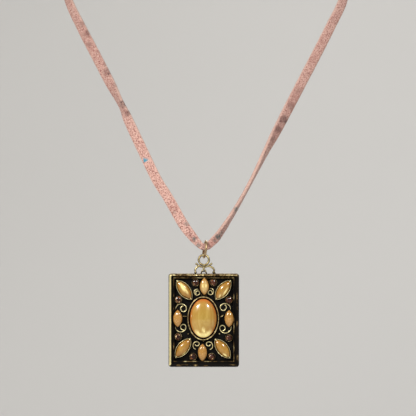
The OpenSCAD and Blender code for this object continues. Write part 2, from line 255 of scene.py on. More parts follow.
# ---- materials


class Nodes:
    """A short way to write a node tree."""

    def __init__(self, name):
        self.material = bpy.data.materials.new(name)
        self.material.use_nodes = True
        self.tree = self.material.node_tree
        self.shader = self.tree.nodes["Principled BSDF"]

    def feed(self, socket, value):
        if isinstance(value, bpy.types.NodeSocket):
            self.tree.links.new(value, socket)
        else:
            socket.default_value = value

    def add(self, kind, **inputs):
        node = self.tree.nodes.new(kind)
        for key, value in inputs.items():
            self.feed(node.inputs[key.replace("_", " ")], value)
        return node

    def link(self, source, key):
        self.tree.links.new(source, self.shader.inputs[key])

    def set(self, **values):
        for key, value in values.items():
            self.shader.inputs[key.replace("_", " ")].default_value = value

    def attribute(self, name):
        node = self.tree.nodes.new("ShaderNodeAttribute")
        node.attribute_name = name
        return node.outputs["Fac"]

    def object_place(self):
        return self.tree.nodes.new("ShaderNodeTexCoord").outputs["Object"]

    def noise(self, scale, detail=3.0, rough=0.55, warp=0.0, place=None):
        node = self.add("ShaderNodeTexNoise", Vector=place or self.object_place(), Scale=scale, Detail=detail,
                        Roughness=rough, Distortion=warp)
        return node.outputs["Fac"]

    def ramp(self, source, *stops):
        node = self.add("ShaderNodeValToRGB", Fac=source)
        while len(node.color_ramp.elements) < len(stops):
            node.color_ramp.elements.new(0.5)
        for element, (at, colour) in zip(node.color_ramp.elements, stops):
            element.position = at
            element.color = colour if hasattr(colour, "__len__") else (colour, colour, colour, 1)
        return node.outputs["Color"]

    def maths(self, operation, a, b):
        node = self.tree.nodes.new("ShaderNodeMath")
        node.operation = operation
        for socket, value in zip(node.inputs, (a, b)):
            self.feed(socket, value)
        return node.outputs["Value"]

    def mix(self, share, a, b):
        node = self.tree.nodes.new("ShaderNodeMix")
        node.data_type = "RGBA"
        for key, value in (("Factor", share), ("A", a), ("B", b)):
            socket = next(s for s in node.inputs if s.name == key and (key == "Factor" or s.type == "RGBA"))
            self.feed(socket, value)
        return next(s for s in node.outputs if s.type == "RGBA")

    def bump(self, height, distance, strength):
        node = self.add("ShaderNodeBump", Height=height, Distance=distance, Strength=strength)
        self.link(node.outputs["Normal"], "Normal")


def rgb(r, g, b):
    """A colour as seen, 0 to 255, to the scene's linear values."""
    def linear(c):
        c = c / 255
        return c / 12.92 if c <= 0.04045 else ((c + 0.055) / 1.055) ** 2.4
    return (linear(r), linear(g), linear(b), 1.0)


def antique_metal(name, bright, mid, dark, wear):
    """Cast brass with patina in its hollows: reads the patina attribute, 0 open to 1 hidden, which also holds
    painted shade and painted highlights.
    """
    m = Nodes(name)
    blotch = m.noise(1100, 4, 0.62)
    hidden = m.maths("ADD", m.attribute("patina_shade"), m.maths("MULTIPLY", m.maths("SUBTRACT", blotch, 0.5), 0.9))
    colour = m.ramp(hidden, (wear - 0.3, bright), (wear, mid), (wear + 0.2, dark))
    m.link(colour, "Base Color")
    m.link(m.ramp(hidden, (wear - 0.25, 0.3), (wear + 0.25, 0.62)), "Roughness")
    m.link(m.ramp(hidden, (0.0, 0.62), (wear, 0.95), (wear + 0.3, 0.7)), "Metallic")
    m.bump(m.noise(3500, 3), 0.00004, 0.7)
    return m.material


def suede():
    """Mottled suede: reads the vertex attributes edge, teal, green and shade; shade is painted shade, mixed
    with some dark mottling.
    """
    m = Nodes("suede")
    place = m.object_place()
    fine = m.noise(3000, 4, 0.75, place=place)
    specks = m.noise(1900, 3, 0.7, place=place)
    aside = m.add("ShaderNodeMapping", Vector=place, Location=(3, 1, 2)).outputs[0]
    flecks = m.noise(2100, 3, 0.65, place=aside)
    patches = m.noise(130, 2, 0.5, 0.5, place=place)
    base = m.ramp(fine, (0.34, rgb(158, 104, 94)), (0.5, rgb(220, 174, 161)), (0.68, rgb(240, 208, 196)))
    speckled = m.mix(m.ramp(specks, (0.52, 0.0), (0.6, 0.95)), base, rgb(136, 80, 76))
    worn = m.mix(m.ramp(patches, (0.5, 0.0), (0.66, 0.35)), speckled, rgb(164, 112, 102))
    creamy = m.mix(m.ramp(flecks, (0.57, 0.0), (0.66, 0.8)), worn, rgb(246, 220, 204))
    edged = m.mix(m.maths("MULTIPLY", m.attribute("edge"), 0.5), creamy, rgb(232, 200, 184))
    spotty = m.ramp(specks, (0.4, 1.0), (0.56, 0.35))
    shaded = m.mix(m.maths("MULTIPLY", m.attribute("shade"), spotty), edged, rgb(76, 48, 48))
    greened = m.mix(m.maths("MULTIPLY", m.attribute("green"), spotty), shaded, rgb(48, 92, 94))
    m.link(m.mix(m.attribute("teal"), greened, rgb(40, 150, 180)), "Base Color")
    m.set(Roughness=0.92, Sheen_Weight=0.25, Sheen_Roughness=0.5, Specular_IOR_Level=0.2)
    m.bump(m.maths("ADD", m.maths("MULTIPLY", fine, 0.6), specks), 0.00016, 0.9)
    return m.material


def pearly(name, deep, body, top, streak, flakes=0.0, edge_reach=0.35):
    """A pearly cabochon: reads the vertex attributes height, 0 at the girdle to 1 on top, and glow."""
    m = Nodes(name)
    place = m.object_place()
    stretch = m.add("ShaderNodeMapping", Scale=(1.0, 1.0, 0.35))
    m.tree.links.new(place, stretch.inputs["Vector"])
    silk = m.noise(420, 4, 0.6, 1.2, place=stretch.outputs["Vector"])
    edge = m.ramp(m.attribute("height"), (0.0, deep), (edge_reach, body), (1.0, top))
    colour = m.mix(m.ramp(silk, (0.45, 0.0), (0.7, 0.65)), edge, streak)
    if flakes:
        glitter = m.add("ShaderNodeTexVoronoi", Scale=3600.0)
        m.tree.links.new(place, glitter.inputs["Vector"])
        sparkle = m.ramp(glitter.outputs["Color"], (0.62, 0.0), (0.9, flakes))
        colour = m.mix(sparkle, colour, rgb(250, 210, 146))
    # painted light: glow lightens the colour and makes the stone emit light, though it is no lamp
    lit = m.maths("MULTIPLY", m.attribute("glow"), m.ramp(silk, (0.3, 0.75), (0.6, 1.0)))
    m.link(m.mix(lit, colour, rgb(255, 240, 168)), "Base Color")
    m.link(m.mix(lit, (0, 0, 0, 1), rgb(255, 232, 140)), "Emission Color")
    m.set(Emission_Strength=0.35)
    m.set(Roughness=0.25, Coat_Weight=1.0, Coat_Roughness=0.03, Specular_IOR_Level=0.5)
    return m.material


def cut_glass():
    """A dark faceted stone: reads the face attribute flash, the light each facet throws back."""
    m = Nodes("champagne_glass")
    stops = [(0.0, rgb(38, 18, 12)), (0.5, rgb(92, 50, 34)), (0.85, rgb(160, 98, 60)),
             (1.0, rgb(255, 226, 172))]
    m.link(m.ramp(m.attribute("flash"), *stops), "Base Color")
    m.set(Roughness=0.2, Coat_Weight=0.25, Coat_Roughness=0.05, Specular_IOR_Level=0.4)
    return m.material


def dark_field():
    """Blackened brass: reads the vertex attribute bare, where the metal shows through."""
    m = Nodes("dark_field")
    tone = m.noise(2500, 4)
    worn = m.maths("MULTIPLY", m.attribute("bare"), m.ramp(m.noise(700, 4, 0.65), (0.35, 0.15), (0.6, 1.0)))
    m.link(m.mix(worn, m.mix(tone, rgb(4, 3, 3), rgb(9, 7, 6)), rgb(150, 124, 80)), "Base Color")
    m.link(m.ramp(worn, (0.0, 0.85), (0.6, 0.4)), "Roughness")
    m.link(m.ramp(worn, (0.1, 0.0), (0.6, 0.8)), "Metallic")
    m.set(Specular_IOR_Level=0.2)
    m.bump(tone, 0.00006, 0.7)
    return m.material


def spring_steel():
    m = Nodes("spring_steel")
    tone = m.noise(2500, 4)
    m.link(m.mix(m.ramp(tone, (0.35, 0.0), (0.7, 1.0)), STEEL_DARK, STEEL_LIGHT), "Base Color")
    m.set(Roughness=0.35, Metallic=1.0)
    m.bump(tone, 0.00006, 0.7)
    return m.material


BRASS = antique_metal("antique_brass", rgb(255, 240, 180), rgb(128, 102, 62), rgb(16, 12, 8), 0.3)
FINDINGS = antique_metal("findings_brass", rgb(196, 168, 130), rgb(122, 98, 68), rgb(44, 34, 25), 0.16)
FIELD = dark_field()
SUEDE = suede()
AMBER = pearly("amber", rgb(240, 96, 40), rgb(190, 138, 56), rgb(184, 148, 62), rgb(210, 176, 92),
               edge_reach=0.62)
GOLDEN = pearly("golden_orange", rgb(140, 70, 16), rgb(172, 116, 36), rgb(172, 126, 46), rgb(206, 160, 72))
PEACH = pearly("peach", rgb(216, 138, 76), rgb(180, 126, 54), rgb(178, 128, 52), rgb(202, 148, 74), 0.35)
GLASS = cut_glass()
STEEL_DARK = rgb(150, 150, 150)
STEEL_LIGHT = tuple(1.6 * c for c in STEEL_DARK[:3]) + (1,)
STEEL = spring_steel()


def finish_piece(made, material, body, slot, *nodes):
    """Gives a made piece its material and its place among the bodies, and hides the CAD nodes it stands for.
    """
    made.data.materials.clear()
    made.data.materials.append(material)
    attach(made, body)
    if nodes:
        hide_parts(*nodes)
    return made


# ---- camera

CAMERA_REACH = 0.9
VIEW_WIDTH = 0.14976
VIEW_MIDDLE = Vector((0.0011, TURN.y, TURN.z + 0.014))

camera = bpy.data.objects.new("camera", bpy.data.cameras.new("camera"))
bpy.context.scene.collection.objects.link(camera)
camera.location = VIEW_MIDDLE - Vector((0, CAMERA_REACH, 0))
camera.rotation_euler = (math.radians(90), 0, 0)
camera.data.lens = camera.data.sensor_width * CAMERA_REACH / VIEW_WIDTH
camera.data.clip_start = 0.01
camera.data.clip_end = 20
bpy.context.scene.camera = camera


# ---- lace

LACE_WIDTH = 0.0038
LACE_THICK = 0.0015
GATHERED = 0.0024

# the lace's back on the right: place from the turn in mm, and the way the wide face looks
BACK = [
    ((11.3, 88, 138), (0, 1, 0)), ((18, 88, 138), (0, 1, 0)),
    ((26, 87.6, 137.7), (0.1, 1, 0)), ((35.5, 85.5, 136), (0.3, 1, 0)),
    ((46, 79, 131), (0.8, 0.9, 0)), ((53, 69, 123.5), (1, 0.2, 0)),
    ((55, 58, 113.5), (1, -0.2, 0)), ((54, 49.5, 103.5), (1, -0.4, 0)),
]
# the front from left to right, with the share of the full width at each place
FRONT = [
    ((-51.5, 42, 92.5), (-0.8, -0.7, 0), 1),
    ((-46.5, 36, 82), (-0.3, -1, -0.3), 1),
    ((-41, 30.5, 71.5), (0, -1, -0.3), 1),
    ((-35.5, 25, 61), (-0.2, -1, -0.3), 1),
    ((-31, 20.8, 52.5), (-0.8, -0.7, -0.6), 1),
    ((-28, 17.5, 46), (-0.3, -1, -0.3), 1),
    ((-23, 12.5, 35.5), (0, -1, -0.3), 1),
    ((-17.6, 7.8, 24.5), (0, -1, -0.3), 1),
    ((-13.2, 5, 17.5), (0, -1, -0.3), 1),
    ((-8, 2, 8.4), (0, -1, -0.2), 1),
    ((-4.6, 0.8, 3.8), (0, -1, 0), 0.7),
    ((-2.5, 0.3, 1.4), (0, -1, 0), 0.25),
    ((-1.2, 0.06, 0.25), (0, -1, 0), 0),
    ((0, 0, 0), (0, -1, 0), 0),
    ((1.2, 0.06, 0.28), (0, -1, 0), 0),
    ((2.5, 0.3, 1.55), (0, -1, 0), 0.25),
    ((5.2, 0.9, 4.6), (0.8, -0.6, -0.2), 0.6),
    ((10.2, 3.2, 12.2), (1, -0.25, -0.4), 1),
    ((16, 7, 22.4), (1, -0.1, -0.4), 1),
    ((22.3, 12.2, 34.8), (0.88, -0.5, -0.4), 1),
    ((26.4, 15.8, 42.5), (0.5, -0.9, -0.3), 1),
    ((33.3, 22.3, 55.7), (0.1, -1, -0.3), 1),
    ((42.2, 31, 72.6), (0, -1, -0.3), 1),
    ((47.2, 36.4, 82.4), (0.2, -1, -0.2), 1),
    ((52, 42, 92.5), (0.5, -0.9, 0), 1),
]
ROUTE = [((-x, y, z), (-a, b, c), 1) for (x, y, z), (a, b, c) in BACK] + FRONT
ROUTE += [(place, looks, 1) for place, looks in reversed(BACK)]
LACE_STEPS = 24
LACE_SIDES = 40
LACE_FIT = 0.985  # room for the fray inside the full width


def spline(points, steps):
    """Catmull-Rom through vectors."""
    out = []
    last = len(points) - 1
    for i in range(last):
        a, b, c, d = (points[clamp(j, 0, last)] for j in (i - 1, i, i + 1, i + 2))
        for k in range(steps):
            t = k / steps
            out.append(0.5 * (2 * b + (c - a) * t + (2 * a - 5 * b + 4 * c - d) * t * t
                              + (3 * b - 3 * c + d - a) * t * t * t))
    out.append(points[last])
    return out


# marks on the front of the lace, in mm: places across and up from the turn, how far each reaches, its depth;
# TEAL and GREEN are stains, SHADE is painted shade where the lace twists and along an edge, with some dark
# mottling among it
TEAL = [(-21.8, 31.5, 1.0, 1.0)]
GREEN = [(-3.9, 2.8, 1.2, 0.9), (-2.3, 0.6, 1.0, 0.8), (-6.6, 8.2, 1.0, 0.6), (4.8, 3.6, 1.3, 1.0),
         (3.4, 2.2, 0.8, 0.7), (6.1, 5.2, 0.8, 0.7), (11.2, 13.6, 1.2, 0.9), (-11.0, 12.5, 0.8, 0.4)]
SHADE = [(-29.6, 52.5, 2.2, 1.0), (-28.3, 48.8, 1.6, 0.9), (-36.0, 64.5, 2.4, 0.9), (-33.2, 59.5, 1.6, 0.6),
         (28.9, 46.4, 2.2, 1.0), (26.8, 42.8, 1.8, 0.9), (24.8, 39.2, 1.4, 0.6), (31.6, 51.5, 2.0, 0.7),
         (34.6, 57.0, 1.6, 0.5), (-5.4, 4.4, 1.2, 0.4), (-45.7, 82.9, 1.9, 0.7), (-43.8, 79.2, 1.9, 0.8),
         (-43.3, 75.1, 1.6, 0.7), (-39.6, 72.0, 1.4, 0.5), (-36.9, 67.4, 1.6, 0.7)]


# painted shade over the right strand and over the left strand high up, where less light falls on them
PAINTED_SHADE_RIGHT, PAINTED_SHADE_LEFT = 0.2, 0.32


def painted_shade_at(p):
    x, z = (p.x - TURN.x) / MM, (p.z - TURN.z) / MM
    high_left = smoothstep(36.0, 56.0, z) * smoothstep(0.0, -4.0, x)
    return PAINTED_SHADE_RIGHT * smoothstep(0.5, 4.0, x) + PAINTED_SHADE_LEFT * high_left


def stain_and_shade(p, spots, ragged):
    """How deep the stains of a list, and the painted shade of the SHADE list, lie at a place on the lace, its
    outline made ragged.
    """
    x, z = (p.x - TURN.x) / MM, (p.z - TURN.z) / MM
    if p.y > TURN.y + 0.045:
        return 0.0
    return max(depth * smoothstep(1.0, 0.45, math.hypot(x - sx, z - sz) / reach + ragged)
               for sx, sz, reach, depth in spots)


def lace():
    places = spline([TURN + MM * Vector(p) for p, _, _ in ROUTE], LACE_STEPS)
    looks = spline([Vector(f) for _, f, _ in ROUTE], LACE_STEPS)
    spread = spline([Vector((s, 0, 0)) for _, _, s in ROUTE], LACE_STEPS)
    rings = []
    layers = {"edge": [], "teal": [], "green": [], "shade": []}
    along = 0.0
    for i, p in enumerate(places):
        if i:
            along += (p - places[i - 1]).length
        way = (places[min(i + 1, len(places) - 1)] - places[max(i - 1, 0)]).normalized()
        out = (looks[i] - way * looks[i].dot(way)).normalized()
        across = way.cross(out)
        share = clamp(spread[i].x)
        half = (GATHERED + (LACE_WIDTH - GATHERED) * share) / 2
        ring = []
        for k in range(LACE_SIDES):
            c, s = turned(k / LACE_SIDES)
            u = math.copysign(abs(c) ** 0.42, c)  # a rectangle with rounded corners
            v = math.copysign(abs(s) ** 0.5, s)
            rough = lumpy(along / 0.0016, u * 2.0, v * 1.5)
            fray = lumpy(along / 0.0005, u * 3.0, 9.0)
            wide = half * (1 + 0.03 * rough + 0.012 * fray) * LACE_FIT
            thick = LACE_THICK / 2 * (0.93 + 0.07 * rough - 0.1 * (u * u) ** 3)
            place = p + across * u * wide + out * v * thick
            ragged = 0.35 * noise.noise(place * 1400) + 0.2 * noise.noise(place * 4200)
            ring.append(place)
            layers["edge"].append(smoothstep(0.8, 1.0, abs(u)))
            layers["teal"].append(stain_and_shade(place, TEAL, ragged))
            layers["green"].append(stain_and_shade(place, GREEN, ragged))
            # the shade layer is painted shade: the strands' overall shade and the SHADE patches, with some
            # dark mottling
            layers["shade"].append(max(painted_shade_at(place), stain_and_shade(place, SHADE, ragged)))
        rings.append(ring)
    made = mesh_object("suede_lace", *loft(rings))
    for name, values in layers.items():
        set_layer(made, name, values)
    finish_piece(made, SUEDE, "cord", "suede", "neck_cord")
    return made, places


lace_piece, lace_line = lace()


# ---- findings on the lace

FINDING_BEVEL = 0.00018
RING_GAP = 1.2  # degrees between the ends of a cut ring


def dressed(node, material, width=FINDING_BEVEL):
    """A CAD node kept as it is, with softened edges and a real surface."""
    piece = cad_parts[node]
    piece.data.materials.clear()
    piece.data.materials.append(material)
    bevel = piece.modifiers.new("soft_edges", "BEVEL")
    bevel.width = width
    bevel.segments = 3
    bevel.limit_method = "ANGLE"
    bevel.angle_limit = math.radians(35)
    for face in piece.data.polygons:
        face.use_smooth = True
    normals = piece.modifiers.new("even_shading", "WEIGHTED_NORMAL")
    normals.keep_sharp = True
    return piece


on_lace = [dressed(node, FINDINGS) for node in ("cord_end_left", "cord_end_right")]
on_lace += [dressed(node, FINDINGS, 0.0002) for node in ("clasp_body", "clasp_lever")]
on_lace.append(dressed("clasp_rivet", FINDINGS, 0.0001))


def closing_ring(node, name, body):
    low, high = box_mm(node)
    middle = (low + high) / 2
    size = high - low
    minor = min(size) / 2
    wire = torus(middle, max(size) / 2 - minor, minor * 0.98, (0, 0, 1), gap=RING_GAP)
    made = shrink(mesh_object(name, *wire))
    return finish_piece(made, FINDINGS, body, "brass", node)


on_lace.append(closing_ring("closing_ring_left", "closing_ring_1", "left_ring"))
on_lace.append(closing_ring("closing_ring_right", "closing_ring_2", "right_ring"))


def clasp_spring():
    low, high = box_mm("clasp_spring")
    middle = (low + high) / 2
    radius = (high.x - low.x) / 2 - 0.07
    turns = 2
    steps = 80
    path = []
    for k in range(steps + 1):
        x, z = turned(turns * k / steps, radius)
        path.append(middle + Vector((x, (k / steps - 0.5) * 0.13, z)))
    made = shrink(mesh_object("clasp_coil", *tube(path, 0.06, 8)))
    return finish_piece(made, STEEL, "clasp", "spring_steel", "clasp_spring")


on_lace.append(clasp_spring())


# ---- jump ring and eye

JUMP_LEAN = math.radians(8)
JUMP_TURN = math.radians(8)
JUMP_RADIUS = 2.9
JUMP_WIRE = 0.43


def jump_ring():
    low, high = box_mm("pendant_jump_ring")
    middle = (low + high) / 2
    axis = Vector((math.cos(JUMP_LEAN) * math.cos(JUMP_TURN), math.cos(JUMP_LEAN) * math.sin(JUMP_TURN),
                   -math.sin(JUMP_LEAN)))
    parts = torus(middle, JUMP_RADIUS, JUMP_WIRE, axis, sides=20, steps=96, gap=RING_GAP)
    made = shrink(mesh_object("jump_ring", *parts))
    return finish_piece(made, FINDINGS, "jump_ring", "brass", "pendant_jump_ring")


jump_ring()

metal = []  # pendant castings whose hollows hold patina, each with its dullness and its veil; castings without a veil get painted shade on their sides, and the frame's veil holds painted light and shade


def cast(made, node, dull, veil=None):
    """A brass casting of the pendant; dull darkens all of it, veil gives the patina, with painted light and
    shade, vertex by vertex.
    """
    finish_piece(made, BRASS, "pendant", "antique_brass", node)
    metal.append((made, dull, veil))


def bail_eye():
    low, high = box_mm("bail_eye")
    wire = (high.y - low.y) / 2
    major = (high.x - low.x) / 2 - wire
    middle = Vector(((low.x + high.x) / 2, (low.y + high.y) / 2, high.z - wire - major))
    parts = [torus(middle, major, wire * 0.98, (0, 1, 0), wobble=0.02)]
    foot = Vector((middle.x, middle.y, low.z + 0.36))
    parts.append(ball(foot, 0.44))
    made = mesh_object("cast_eye", *join_parts(parts))
    melted(made, 0.07, 2)
    for v in made.data.vertices:
        v.co.z = max(v.co.z, low.z)
    roughened(made, 0.04, 0.8)
    cast(shrink(made), "bail_eye", 0.14)


bail_eye()


# ---- crown

HALF_H = FRAME_H / 2
CROWN_DEPTH = FRAME_D / 2
# from the middle of the frame's top
SMILE = [(0, 2.37), (0.8, 2.45), (1.6, 2.78), (2.2, 3.1), (2.65, 3.45)]
SHOULDER = [(1.25, 2.6), (1.8, 2.6), (2.4, 2.4), (2.9, 2.0), (3.25, 1.45), (3.32, 0.9), (3.2, 0.4)]
LEAF = [(0.1, 1.9), (0.3, 1.4), (0.62, 0.85), (0.85, 0.35), (1.0, 0.1)]
SHOULDER_REACH = {-1: -0.94, 1: 1.12}


def flat_wire(points, radii, depth):
    """A round wire through points of the flat work, rounded off between them."""
    path = spline([Vector((x, y, depth)) for x, y in points], 6)
    last = len(path) - 1
    low, high = radii
    return tube(path, [low + (high - low) * math.sin(math.pi * k / last) for k in range(last + 1)], 14)


def crown():
    top = HALF_H
    smile = [(-x, y) for x, y in SMILE[:0:-1]] + SMILE
    parts = [
        flat_wire([(x, top + y) for x, y in smile], (0.26, 0.34), CROWN_DEPTH),
        ball((0, top + 1.95, CROWN_DEPTH), 0.33),
        ball((0, top + 0.75, CROWN_DEPTH), 0.3),
    ]
    for side in (-1, 1):
        reach = SHOULDER_REACH[side]
        parts.append(flat_wire([(reach * x, top + y) for x, y in SHOULDER], (0.26, 0.36), CROWN_DEPTH))
        parts.append(flat_wire([(side * x, top + y) for x, y in LEAF], (0.2, 0.28), CROWN_DEPTH))
        parts.append(ball((side * 2.7, top + 3.5, CROWN_DEPTH), 0.4))
        parts.append(ball((reach * 3.18, top + 0.42, CROWN_DEPTH), 0.48))
    parts.append(ball((4.0, top + 0.15, CROWN_DEPTH), 0.3))
    made = mesh_object("crown_scrollwork", *join_parts(parts))
    melted(made, 0.06, 2)
    for v in made.data.vertices:
        v.co.y = max(v.co.y, top - 0.02)
    roughened(made, 0.05, 0.5, 3.0)
    cast(onto_pendant(made), "crown_scrolls", 0.12)


crown()


# ---- frame moulding

# share of the border's width from the outside, and height above the rear
MOULDING = [
    (0.12, 0.0), (0.03, 0.12), (0.0, 0.35), (0.0, 1.2), (0.0, 1.9), (0.03, 2.25), (0.08, 2.45),
    (0.14, 2.62), (0.21, 2.77), (0.28, 2.88), (0.35, 2.95), (0.4, 2.97), (0.44, 2.92), (0.47, 2.76),
    (0.5, 2.45), (0.54, 2.1), (0.59, 1.9),
    (0.64, 1.81), (0.7, 1.78), (0.745, 1.8), (0.785, 1.92), (0.82, 2.03), (0.875, 2.07), (0.93, 2.03),
    (0.975, 1.9), (0.995, 1.7), (0.995, 1.3), (0.995, 0.8), (0.995, 0.0),
]
CREST_AT = 0.42
CORNER = 1.0


def moulding_point(side, share, u):
    """A place on one side of the frame: share runs along it and u from the outside in."""
    w, h = FRAME_W / 2, FRAME_H / 2
    outer = [(w, -h), (w, h), (-w, h), (-w, -h)]
    low, high = BOTTOM_BORDER - h, h - TOP_BORDER
    reach = w - SIDE_BORDER
    inner = [(reach, low), (reach, high), (-reach, high), (-reach, low)]
    a, b = outer[side], outer[(side + 1) % 4]
    c, d = inner[side], inner[(side + 1) % 4]
    x = (a[0] + (b[0] - a[0]) * share) * (1 - u) + (c[0] + (d[0] - c[0]) * share) * u
    y = (a[1] + (b[1] - a[1]) * share) * (1 - u) + (c[1] + (d[1] - c[1]) * share) * u
    corner = max(0.12, CORNER * (1 - u) ** 2)
    edge_x = w - u * SIDE_BORDER
    edge_y = h - u * (TOP_BORDER if y > 0 else BOTTOM_BORDER)
    cx = math.copysign(edge_x - corner, x)
    cy = math.copysign(edge_y - corner, y)
    if abs(x) > abs(cx) and abs(y) > abs(cy):
        away = Vector((x - cx, y - cy))
        pulled = away.normalized() * corner
        x, y = cx + pulled.x, cy + pulled.y
    return x, y


def frame_stations():
    """(side, share) right round the frame, closer together at the corners."""
    out = []
    for side, length in enumerate((FRAME_H, FRAME_W, FRAME_H, FRAME_W)):
        count = int(length / 0.3)
        ends = [0.0, 0.006, 0.012, 0.018, 0.025, 0.034]
        middle = [0.045 + (1 - 0.09) * k / count for k in range(count + 1)]
        shares = ends + middle + [1 - e for e in reversed(ends)][:-1]
        out.extend((side, s) for s in shares)
    return out


# painted light and shade on each side's crest and its inner lip, as light falls on that side: right, top,
# left, bottom; above 0 is painted shade, below 0 a painted highlight
PAINTED_CREST_SHADE = [0.5, 0.42, -0.5, 0.52]
PAINTED_LIP_SHADE = [0.3, 0.4, 0.46, 0.34]


def frame_moulding():
    """The border; its cove is dark with patina, its crests and inner lips are worn bright, and each side has
    its own painted light and shade on them.
    """
    rings = []
    veil = []
    for side, share in frame_stations():
        ring = []
        for u, z in MOULDING:
            outside = smoothstep(0.06, 0.12, u) * smoothstep(2.0, 2.4, z)
            crest = outside if u < CREST_AT else smoothstep(2.75, 2.95, z)
            lip = smoothstep(1.9, 2.03, z) * smoothstep(0.76, 0.82, u)
            worn_and_lit = max(crest, lip)
            x, y = moulding_point(side, share, u)
            uneven = 0.5 * worn_and_lit * lumpy(x * 0.5, y * 0.5, 6.0 + u)
            grime = 0.62 if z > 1.6 else 0.36 + 0.25 * lumpy(x * 0.6, y * 0.6, z)
            # each side's crest and lip take their own painted light and shade here, on top of their wear
            veil.append(grime * (1 - worn_and_lit) + PAINTED_CREST_SHADE[side] * crest + PAINTED_LIP_SHADE[side] * lip + uneven)
            # painted light: the top border's face keeps only half of its darkening, so it reads lighter than
            # the other sides
            if side == 1 and z > LIP - 0.3:
                veil[-1] *= 0.5
            inside = smoothstep(0.0, 0.06, min(share, 1 - share))
            face = smoothstep(1.6, 1.9, z)
            if side == 1:  # the top border is cut like a twisted strand
                twist = math.sin(math.tau * (x / 1.05 + u * 1.1) + 0.8 * lumpy(x * 0.8, 4.0, u))
                z += 0.13 * twist * inside * smoothstep(0.1, 0.3, u) * smoothstep(0.98, 0.75, u) * face
            hollow = smoothstep(0.3, 0.45, u) * smoothstep(0.8, 0.65, u)
            z += face * (0.05 + 0.09 * hollow) * lumpy(x * 1.3, y * 1.3, 2.0 + u)
            x += 0.04 * face * lumpy(y * 0.9, u * 2.0, side * 5.0)
            y += 0.04 * face * lumpy(x * 0.9, u * 2.0, side * 7.0 + 3)
            x = clamp(x, 0.005 - FRAME_W / 2, FRAME_W / 2 - 0.005)
            y = clamp(y, 0.005 - FRAME_H / 2, FRAME_H / 2 - 0.005)
            ring.append(Vector((x, y, clamp(z, 0.0, FRAME_D - 0.01))))
        rings.append(ring)
    made = mesh_object("frame_moulding_cast", *loft(rings, closed_path=True))
    cast(onto_pendant(made), "frame_moulding", 0.0, veil)


frame_moulding()


# ---- bezels and stones


def oval_outline(grow):
    """The oval stone's edge, pushed outwards."""
    count = 112
    a = (oval_high.x - oval_low.x) / 2
    b = (oval_high.z - oval_low.z) / 2
    out = []
    for k in range(count):
        c, s = turned(k / count)
        normal = Vector((c / a, s / b)).normalized()
        out.append((a * c + normal.x * grow, b * s + normal.y * grow))
    return out


def navette_outline(width, length):
    """Two equal arcs that meet in points at both ends."""
    count = 36
    radius = (width * width + length * length) / (4 * width)
    half = math.degrees(math.asin(length / 2 / radius))
    right = arc((width / 2 - radius, 0), radius, -half, half, count)
    left = arc((radius - width / 2, 0), radius, 180 - half, 180 + half, count)
    return right[:-1] + left[:-1]


def rim(outlines, uneven, seed=0.0):
    """A closed wall from (outline, height) pairs, going up one side and down the other."""
    count = len(outlines[0][0])
    rings = []
    for k in range(count):
        ring = []
        for outline, z in outlines:
            x, y = outline[k]
            lift = uneven * lumpy(x * 0.9 + seed, y * 0.9, 1.0) if z > 0.9 else 0.0
            ring.append(Vector((x, y, z + lift)))
        rings.append(ring)
    return loft(rings, closed_path=True)


def disc(outline, z):
    return [Vector((x, y, z)) for x, y in outline], [tuple(range(len(outline)))]


OVAL_AT = ((oval_low.x + oval_high.x) / 2 - PENDANT_AT.x, (oval_low.z + oval_high.z) / 2 - PENDANT_AT.z)


def moved(part, at, turn=0.0):
    """A (vertices, faces) part, turned by degrees and put at a place on the pendant."""
    place = Matrix.Translation((at[0], at[1], at[2] if len(at) > 2 else 0)) @ Matrix.Rotation(
        math.radians(turn), 4, "Z")
    return [place @ v for v in part[0]], part[1]


def oval_bezel():
    wall = [(0.5, 0.45), (0.5, 0.9), (0.5, 1.35), (0.545, 1.5), (0.62, 1.57), (0.72, 1.585), (0.82, 1.55),
            (0.9, 1.45), (0.935, 1.2), (0.94, 0.8), (0.945, 0.3), (0.95, 0.0), (0.6, 0.0)]
    body = rim([(oval_outline(g), z) for g, z in wall], 0.09)
    floor = disc(oval_outline(0.55), 0.48)
    made = mesh_object("oval_bezel_rim", *join_parts([moved(p, (*OVAL_AT, PLATE)) for p in (body, floor)]))
    cast(onto_pendant(made), "oval_bezel", 0.14)


def set_height(made, low, high, glow):
    """The attributes height, 0 at the girdle to 1 on top, and glow, light gathered inside the stone."""
    set_layer(made, "height", [clamp((v.co.z - low) / (high - low)) for v in made.data.vertices])
    set_layer(made, "glow", [clamp(glow(v.co)) for v in made.data.vertices])


def patch(x, y, at, reach, turn=0.0):
    """1 in the middle of an oval patch on the face, 0 beyond its reach along and across its turn."""
    c, s = turned(turn / 360)
    along = (x - at[0]) * c + (y - at[1]) * s
    across = (y - at[1]) * c - (x - at[0]) * s
    return smoothstep(1.0, 0.25, math.hypot(along / reach[0], across / reach[1]))


def domed(rings_of, girdle, top, bulge, steps):
    """A cabochon: outlines shrink towards the middle while their height follows a round shoulder."""
    rings = [[Vector((x, y, z)) for x, y in rings_of(1.0)] for z in (0, girdle)]
    for i in range(1, steps):
        t = math.pi / 2 * i / steps
        shrunk = math.cos(t)
        z = girdle + (top - girdle) * math.sin(t) ** bulge
        rings.append([Vector((x, y, z)) for x, y in rings_of(shrunk)])
    verts, faces = loft(rings, caps=False)
    n = len(rings[0])
    faces.append(tuple(range(n - 1, -1, -1)))
    verts.append(Vector((0, 0, top)))
    base = (len(rings) - 1) * n
    faces.extend((base + k, base + (k + 1) % n, len(verts) - 1) for k in range(n))
    return verts, faces


